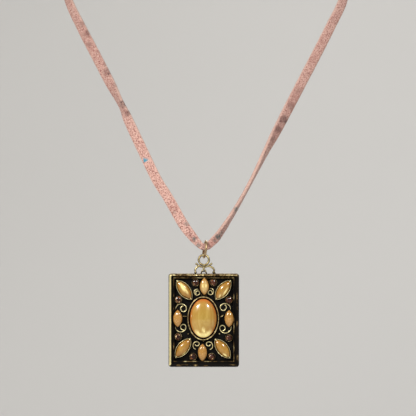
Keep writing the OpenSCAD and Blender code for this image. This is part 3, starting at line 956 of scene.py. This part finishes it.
def oval_cabochon():
    a = (oval_high.x - oval_low.x) / 2
    b = (oval_high.z - oval_low.z) / 2
    top = oval_high.y - oval_low.y

    def outline(s):
        return [(a * s * c, b * s * d) for c, d in (turned(k / 96) for k in range(96))]

    part = domed(outline, 0.55, top, 0.92, 28)
    made = mesh_object("oval_stone", *moved(part, (*OVAL_AT, PLATE + 0.5)))

    def glow(p):
        x, y = p.x - OVAL_AT[0], p.y - OVAL_AT[1]
        reach = math.hypot(x / a, y / b)
        low = -y / b / max(reach, 0.01)
        ragged = lumpy(x * 1.3, y * 1.3, 3)
        # painted light: a bright crescent along the lower rim and bright patches low in the stone
        band = smoothstep(0.66, 0.88, reach + 0.1 * ragged) * smoothstep(1.0, 0.95, reach)
        crescent = band * smoothstep(0.6, 0.92, low)
        glow_patches = patch(x, y, (0.1, -4.5), (0.9, 2.0)) + 0.7 * patch(x, y, (-1.2, -5.4), (0.7, 0.9))
        return max(crescent, glow_patches * (0.6 + 0.8 * ragged))

    set_height(made, PLATE + 0.9, PLATE + 0.5 + top, glow)
    onto_pendant(made)
    finish_piece(made, AMBER, "pendant", "amber", "oval_cabochon")


oval_bezel()
oval_cabochon()

CORNER_W, CORNER_L = 3.6, 8.2
CORNER_TURN = 38
SMALL_W, SMALL_L = 3.3, 6.2
# light gathered in each corner stone: middle, reach along and across, turn and strength of each patch
CORNER_GLOW = {
    "top_left": [((-0.5, 1.0), (2.6, 0.85), 122, 1.0), ((0.9, -0.4), (1.8, 0.4), 118, 0.8)],
    "top_right": [((0.8, -0.6), (2.6, 0.35), 56, 0.9), ((-1.2, -2.2), (1.1, 0.45), 60, 0.7)],
    "bottom_left": [((0.3, -2.1), (2.0, 0.4), 44, 0.6)],
    "bottom_right": [((0.9, -2.3), (1.3, 0.45), 140, 0.9)],
}


def middle_of(node):
    low, high = box_mm(node)
    middle = (low + high) / 2 - PENDANT_AT
    return middle.x, middle.z


def navette_dome(width, length, top):
    """A navette cabochon: round across, and falling to a point at each end."""
    across, steps = 15, 40
    radius = (width * width + length * length) / (4 * width)
    rings = []
    for i in range(steps + 1):
        y = -length / 2 * math.cos(math.pi * i / steps)
        half = max(0.03, math.sqrt(max(0.0, radius * radius - y * y)) - radius + width / 2)
        share = half / (width / 2)
        ring = [Vector((half * math.cos(math.pi * k / across), y,
                        top * share ** 0.8 * math.sin(math.pi * k / across) ** 0.85))
                for k in range(across + 1)]
        rings.append(ring + [Vector((-half * 0.9, y, -0.12)), Vector((half * 0.9, y, -0.12))])
    return loft(rings)


def corner_setting(side, level, where):
    at = middle_of("corner_navette_" + where)
    turn = -side * level * CORNER_TURN
    walls = [(0.16, 0.45), (0.16, 0.9), (0.2, 1.1), (0.25, 1.19), (0.31, 1.19), (0.36, 1.1), (0.385, 0.85),
             (0.39, 0.45), (0.4, 0.0), (0.2, 0.0)]
    outlines = [(navette_outline(CORNER_W + 2 * g, CORNER_L + 2 * g), z) for g, z in walls]
    body = rim(outlines, 0.1, side + 3 * level)
    floor = disc(navette_outline(CORNER_W + 0.4, CORNER_L + 0.4), 0.48)
    parts = [body, floor]
    for end in (-1, 1):
        tip = end * (CORNER_L / 2 + 0.12)
        parts.append(tube([(0, tip + end * 0.08, 0.3), (0, tip, 0.8), (0, tip - end * 0.15, 1.15),
                           (0, tip - end * 0.5, 1.3)], [0.3, 0.3, 0.26, 0.16], 10))
    rim_parts = [moved(p, (*at, PLATE), turn) for p in parts]
    made = mesh_object("corner_bezel_rim_" + where, *join_parts(rim_parts))
    cast(onto_pendant(made), "corner_bezel_" + where, -0.3)
    stone = mesh_object("corner_stone_" + where,
                        *moved(navette_dome(CORNER_W, CORNER_L, 1.5), (*at, PLATE + 0.6), turn))

    def glow(p):
        return max(strength * patch(p.x - at[0], p.y - at[1], middle, reach, angle)
                   for middle, reach, angle, strength in CORNER_GLOW[where])

    set_height(stone, PLATE + 0.6, PLATE + 2.1, glow)
    onto_pendant(stone)
    finish_piece(stone, GOLDEN, "pendant", "golden_orange", "corner_navette_" + where)


for corner_side, corner_word in ((-1, "left"), (1, "right")):
    for corner_level, level_word in ((-1, "bottom"), (1, "top")):
        corner_setting(corner_side, corner_level, level_word + "_" + corner_word)


def small_setting(where):
    at = middle_of("small_navette_" + where)
    seat_top = LIP + 0.1
    part = navette_dome(SMALL_W, SMALL_L, 1.25)
    stone = mesh_object("small_stone_" + where, *moved(part, (*at, seat_top + 0.12)))
    lit = 0.9 if where == "top" else 0.0

    def glow(p):
        x, y = p.x - at[0], p.y - at[1]
        # painted highlights: two bright spots on the top stone, with a broad painted glow around them
        spots = max(patch(x, y, (-0.6, 0.2), (0.4, 1.2)), patch(x, y, (0.6, 0.3), (0.45, 1.1)))
        return lit * max(spots, 0.35 * patch(x, y, (0, 0), (1.6, 3.0)))

    set_height(stone, seat_top + 0.1, seat_top + 1.3, glow)
    onto_pendant(stone)
    finish_piece(stone, PEACH, "pendant", "peach", "small_navette_" + where)
    walls = [(-0.35, 0.0), (-0.32, 0.6), (-0.2, 0.95), (-0.12, 1.08), (-0.2, 1.14), (-0.5, 1.14), (-0.6, 0.5),
             (-0.6, 0.0)]
    body = rim([(navette_outline(SMALL_W + 2 * g, SMALL_L + 2 * g - 0.5), z) for g, z in walls], 0.0)
    seat = mesh_object("small_seat_" + where, *moved(body, (*at, PLATE)))
    cast(onto_pendant(seat), "navette_seat_" + where, 0.1)


for place_word in ("top", "bottom", "left", "right"):
    small_setting(place_word)


# ---- round stones

ROUND_R = 1.2
# a cup's wall from the inside over its rim: radius and height
CUP_PROFILE = [(1.21, 0.35), (1.21, 0.6), (1.22, 0.8), (1.25, 0.94), (1.29, 0.98), (1.33, 0.94), (1.36, 0.8),
               (1.37, 0.5), (1.37, 0.0), (1.25, 0.0)]
TABLE_FLASH = 0.45  # a stone's table is seen flat on, and throws back less than its facets
ROUND_AT = [(-3, 13.55), (3.4, 13.58), (-3.85, -13.15), (2.8, -13.15),
            (-9.18, 7.45), (9.05, 7.3), (-9.18, -5.9), (9, -6.35)]


def brilliant():
    """A round cut stone: table, star, main and girdle facets."""
    table = [(0.64, 22.5 + 45 * k, 0.5) for k in range(8)]
    star = [(0.92, 45 * k, 0.34) for k in range(8)]
    girdle = [(ROUND_R, 22.5 * k, 0.06) for k in range(16)]
    lower = [(ROUND_R, 22.5 * k, -0.02) for k in range(16)]
    verts = [Vector((*turned(t / 360, r), z)) for r, t, z in table + star + girdle + lower]
    faces = [tuple(range(8))]
    for k in range(8):
        j = (k + 1) % 8
        mid = 8 + j  # star point between table corners k and j
        faces.append((k, mid, j))
        g = 16 + (2 * k + 1) % 16  # girdle point under table corner k
        faces.append((k, 8 + k, g, mid))
        under = 16 + (2 * j) % 16
        faces.append((mid, g, under))
        faces.append((mid, under, 16 + (2 * j + 1) % 16))
    for k in range(16):
        j = (k + 1) % 16
        faces.append((16 + k, 32 + k, 32 + j, 16 + j))
    faces.append(tuple(range(47, 31, -1)))
    return verts, faces


def round_settings():
    stones = []
    cups = []
    for n, at in enumerate(ROUND_AT):
        stones.append(moved(brilliant(), (*at, PLATE + 0.6), 11 * n))
        circles = [([turned(k / 40, r) for k in range(40)], z) for r, z in CUP_PROFILE]
        cups.append(moved(rim(circles, 0.12, n), (*at, PLATE)))
        cups.append(moved(disc(circles[0][0], 0.36), (*at, PLATE)))
        for k in range(6):  # prongs
            prong = (*turned(k / 6 + n * 25 / 360, ROUND_R), 0.88)
            cups.append(moved(ball(prong, 0.14, 0.8, 6, 8), (*at, PLATE)))
    made = mesh_object("round_stones_cut", *join_parts(stones), smooth=False)
    facets = len(made.data.polygons) // len(ROUND_AT)
    set_layer(made, "flash", [random.random() ** 1.7 * (1 if n % facets else TABLE_FLASH)
                              for n in range(len(made.data.polygons))], "FACE")
    onto_pendant(made)
    finish_piece(made, GLASS, "pendant", "champagne", "round_stones")
    cast(onto_pendant(mesh_object("round_cups_rims", *join_parts(cups))), "round_cups", 0.16)


round_settings()


# ---- scrolls and spacers

SCROLL_WIRE = 0.2


def scroll(centre, loop, sweep, touch, tail, curl):
    """An outer sweep that curls inwards into a loop; both touch at one angle."""
    away = sweep - loop
    out, up = turned(touch / 360, away)
    middle = (centre[0] - out, centre[1] - up)
    path = arc(middle, sweep, tail, touch, 24) + arc(centre, loop, touch, curl, 34)[1:]
    last = len(path) - 1
    radii = [SCROLL_WIRE * (0.62 + 0.38 * smoothstep(0, 0.25, k / last)) for k in range(last + 1)]
    wire = tube([(x, y, PLATE + SCROLL_WIRE * 0.95) for x, y in path], radii, 12)
    end = ball((*path[-1], PLATE + SCROLL_WIRE), SCROLL_WIRE * 1.3, 0.9, 8, 12)
    return [wire, end]


# side of the pendant, then a left-hand scroll: the loop's middle, the radii of loop and sweep,
# and the angles where they touch, where the sweep starts and where the loop ends
SCROLLS = [
    (1, (-7.3, 4.1), 1.05, 1.95, 10, 180, -255), (1, (-7.4, -2.5), 1.0, 1.95, -12, -180, 265),
    (1, (-2.2, 9.8), 0.75, 1.1, -60, -290, 200), (1, (-2.4, -8.5), 0.75, 1.4, 80, 250, -150),
    (-1, (-7, 4.6), 1.1, 1.95, 40, 180, -230), (-1, (-6.7, -2.85), 1.0, 2.1, -17, -185, 250),
    (-1, (-2.3, 9.95), 0.75, 1.15, -75, -280, 190), (-1, (-1.65, -8.55), 0.75, 1.45, 80, 250, -150),
]


def scrolls():
    parts = []
    for side, *shape in SCROLLS:
        for verts, faces in scroll(*shape):
            parts.append(([Vector((side * v.x, v.y, v.z)) for v in verts], faces))
    made = mesh_object("field_scroll_wires", *join_parts(parts))
    roughened(made, 0.04, 0.45, 1.0)
    cast(onto_pendant(made), "field_scrolls", -0.16)


scrolls()


def spacers():
    parts = []
    for x, y in ((0, 8.85), (-0.75, 9.0), (0.75, 9.0), (-0.1, -7.5), (-5.6, -4.9), (5.6, -4.9)):
        parts.append(ball((x, y, PLATE + 0.2), 0.29))
    parts.append(tube([(-7.4, 1.4, PLATE + 0.35), (-6.25, 1.4, PLATE + 0.35)], 0.22, 10))
    bar = [(6.0, 1.25, PLATE + 0.35), (6.55, 1.45, PLATE + 0.4), (7.0, 1.78, PLATE + 0.35)]
    parts.append(tube(bar, 0.22, 10))
    made = mesh_object("spacer_balls", *join_parts(parts))
    cast(onto_pendant(made), "spacer_beads", 0.0)


spacers()


# ---- back plate


def back_plate():
    """The dark field: stippled in front, and hammered behind inside a plain rim."""
    w = plate_high.x - plate_low.x
    h = plate_high.z - plate_low.z
    up = (plate_low.z + plate_high.z) / 2 - PENDANT_AT.z
    nx, ny = 84, 116
    verts = []
    faces = []
    for layer in (0, 1):
        for j in range(ny + 1):
            for i in range(nx + 1):
                x = w * (i / nx - 0.5)
                y = h * (j / ny - 0.5)
                inset = min(w / 2 - abs(x), h / 2 - abs(y))
                inner = smoothstep(0.0, 0.5, inset)
                if layer:
                    z = PLATE - 0.06 * inner * (0.5 + lumpy(x * 2.2, y * 2.2, 5))
                else:
                    z = smoothstep(0.5, 1.1, inset) * (0.22 + 0.1 * lumpy(x * 0.7, y * 0.7, 9))
                verts.append(Vector((x, y + up, z)))
    row = nx + 1
    size = row * (ny + 1)
    for layer in (0, 1):
        for j in range(ny):
            for i in range(nx):
                a = layer * size + j * row + i
                faces.append((a, a + 1, a + row + 1, a + row))
    border = [i for i in range(row)] + [j * row + nx for j in range(1, ny + 1)]
    border += [ny * row + i for i in range(nx - 1, -1, -1)] + [j * row for j in range(ny - 1, 0, -1)]
    for k, a in enumerate(border):
        b = border[(k + 1) % len(border)]
        faces.append((a, b, b + size, a + size))
    made = mesh_object("field_plate", verts, faces)
    # bare metal on the rear's high spots, none in front
    set_layer(made, "bare", [clamp(1.0 - 2.6 * v.co.z) if v.co.z < PLATE / 2 else 0.0
                             for v in made.data.vertices])
    onto_pendant(made)
    finish_piece(made, FIELD, "pendant", "dark_field", "back_plate")
    return made


field = back_plate()


# ---- patina and painted shade

RECESS_REACH = 0.0017
RECESS_RAYS = 14
GOLDEN_TURN = 0.381966
RECESS_GAIN = 1.1
FAR_LOSS = 0.6  # how much less a hit at full reach counts
CLEAR_OF_SKIN = 0.00002
# painted shade on the sides of castings, as they face away from the front
PAINTED_SIDE_SHADE = 0.45
VEIL_SHARE = 0.4


def ray_fan(count):
    """Directions spread over a hemisphere about +Z."""
    out = []
    for k in range(count):
        z = 0.12 + 0.88 * (k + 0.5) / count
        r = math.sqrt(1 - z * z)
        out.append(Vector((*turned(k * GOLDEN_TURN, r), z)))
    return out


def set_patina_and_shade(castings, others):
    """The patina attribute: how much of the view outwards from each vertex is blocked close by, plus each
    piece's dullness and painted shade on the sides that face away from the front; on the frame its veil of
    patina with painted light and shade takes the place of these two.
    """
    verts = []
    faces = []
    for piece in [made for made, _, _ in castings] + others:
        base = len(verts)
        verts.extend(v.co.copy() for v in piece.data.vertices)
        faces.extend(tuple(base + i for i in f.vertices) for f in piece.data.polygons)
    tree = BVHTree.FromPolygons(verts, faces)
    fan = ray_fan(RECESS_RAYS)
    for piece, dull, veil in castings:
        values = []
        for v in piece.data.vertices:
            turn = v.normal.to_track_quat("Z", "Y")
            start = v.co + v.normal * CLEAR_OF_SKIN
            blocked = 0.0
            for ray in fan:
                hit = tree.ray_cast(start, turn @ ray, RECESS_REACH)
                if hit[0] is not None:
                    blocked += 1.0 - FAR_LOSS * hit[3] / RECESS_REACH
            hidden = clamp(RECESS_GAIN * blocked / RECESS_RAYS)
            # painted shade: sides facing away from the front are darkened
            side_shade = PAINTED_SIDE_SHADE * clamp(1 + v.normal.y)
            values.append(VEIL_SHARE * hidden + veil[v.index] if veil else hidden + dull + side_shade)
        set_layer(piece, "patina_shade", values)


set_patina_and_shade(metal, [field])


# ---- stage and light


def stage():
    """A pale floor that curves up into a backdrop."""
    wide = 3.0
    floor_z = -0.26
    wall_y = 0.9
    bend = 0.5
    profile = [(-2.5, floor_z)] + [
        (wall_y - bend + bend * math.sin(math.radians(a)), floor_z + bend - bend * math.cos(math.radians(a)))
        for a in range(0, 91, 6)
    ] + [(wall_y, 2.6)]
    rings = [[Vector((-wide, y, z)), Vector((wide, y, z))] for y, z in profile]
    made = mesh_object("pale_floor", *loft(rings, closed_ring=False))
    m = Nodes("pale_paper")
    m.link(m.mix(m.noise(3.0, 2), (0.60, 0.59, 0.575, 1), (0.64, 0.63, 0.61, 1)), "Base Color")
    m.link(m.tree.nodes.new("ShaderNodeNewGeometry").outputs["Backfacing"], "Alpha")  # clear from behind
    m.set(Roughness=0.9)
    made.data.materials.append(m.material)


def area_light(name, place, aim, size, power, colour=(1, 1, 1)):
    data = bpy.data.lights.new(name, "AREA")
    data.shape = "RECTANGLE"
    data.size, data.size_y = size
    data.energy = power
    data.color = colour
    made = bpy.data.objects.new(name, data)
    bpy.context.scene.collection.objects.link(made)
    made.location = place
    made.rotation_euler = (Vector(aim) - Vector(place)).to_track_quat("-Z", "Y").to_euler()


stage()
pendant_middle = PENDANT_AT * MM
area_light("key_left", (-0.75, -0.95, 0.65), pendant_middle, (0.2, 0.26), 14, (1.0, 0.97, 0.92))
area_light("key_right", (0.7, -1.0, 0.7), pendant_middle, (0.18, 0.18), 8, (1.0, 0.98, 0.95))
area_light("low_front", (0.1, -1.0, -0.75), pendant_middle, (0.5, 0.2), 2.5, (1.0, 0.96, 0.9))
area_light("back_fill", (0.25, 0.7, 0.55), (0, 0, -0.05), (0.4, 0.4), 3)

world = bpy.data.worlds.new("studio")
bpy.context.scene.world = world
world.use_nodes = True
world.node_tree.nodes["Background"].inputs["Color"].default_value = (0.85, 0.87, 0.9, 1)
world.node_tree.nodes["Background"].inputs["Strength"].default_value = 0.2
bpy.context.scene.view_settings.view_transform = "Standard"
